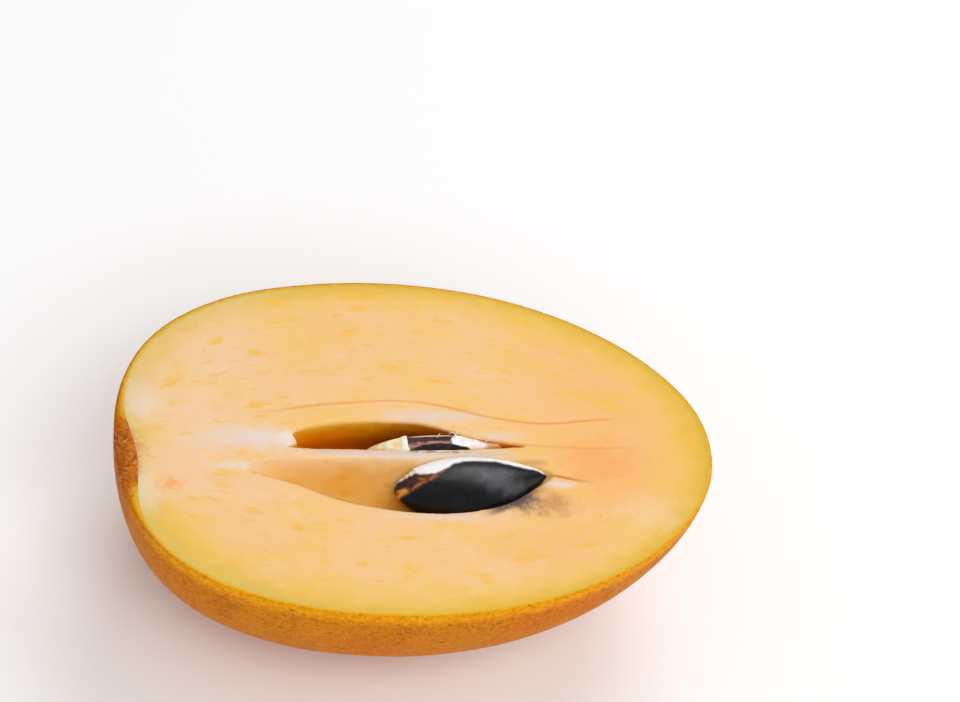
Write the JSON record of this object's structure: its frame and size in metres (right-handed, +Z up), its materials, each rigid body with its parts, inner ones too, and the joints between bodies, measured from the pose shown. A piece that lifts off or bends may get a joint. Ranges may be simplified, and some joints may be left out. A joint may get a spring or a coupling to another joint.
{
  "type": "sapodilla half",
  "caption": "Half of an egg-shaped brown fruit cut lengthwise, with thin skin, pale flesh, open seed pockets and flat dark seeds.",
  "frame": {"origin": "middle of the bounding box in X and Y, at the height of the flat spot that the fruit rests on", "axes": "+X along the fruit from the stem scar to the tip, +Y across the cut face, +Z up out of the cut face"},
  "size_m": [0.08, 0.0566, 0.0289],
  "materials": {
    "skin": "russet brown, slightly rough",
    "flesh": "moist peach",
    "seed_front": "glossy black",
    "seed_back": "glossy dark brown"
  },
  "bodies": {
    "root": {"skin": "skin", "flesh": "flesh", "seed_front": "seed_front", "seed_back": "seed_back"}
  },
  "joints": []
}
